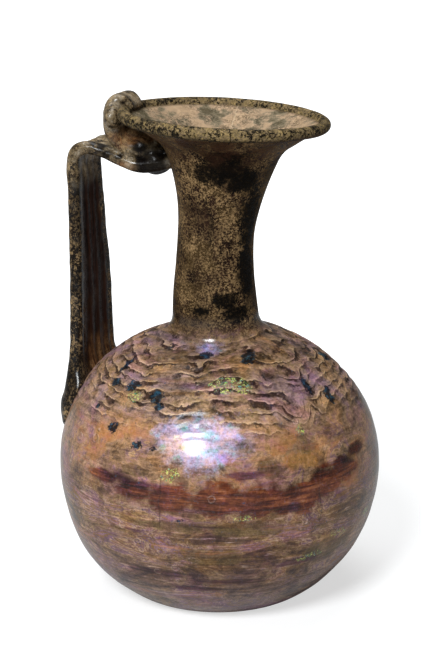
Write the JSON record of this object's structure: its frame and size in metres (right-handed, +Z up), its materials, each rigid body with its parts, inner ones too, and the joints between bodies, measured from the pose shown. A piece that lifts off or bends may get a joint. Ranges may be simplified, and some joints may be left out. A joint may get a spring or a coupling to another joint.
{
  "type": "handled glass jug",
  "caption": "Small blown glass jug with a round body, waisted neck, flared folded rim and a ribbed strap handle looped over the rim.",
  "frame": {"origin": "centre of the ring that the jug stands on", "axes": "+Z up along the belly's axis, -X towards the handle"},
  "size_m": [0.08, 0.08, 0.1237],
  "materials": {
    "weathered_glass": "iridescent, flaking, half gloss",
    "dark_glass": "dark, sand-speckled, half gloss"
  },
  "bodies": {
    "root": {"blown_vessel": "weathered_glass", "strap_handle": "dark_glass"}
  },
  "joints": []
}
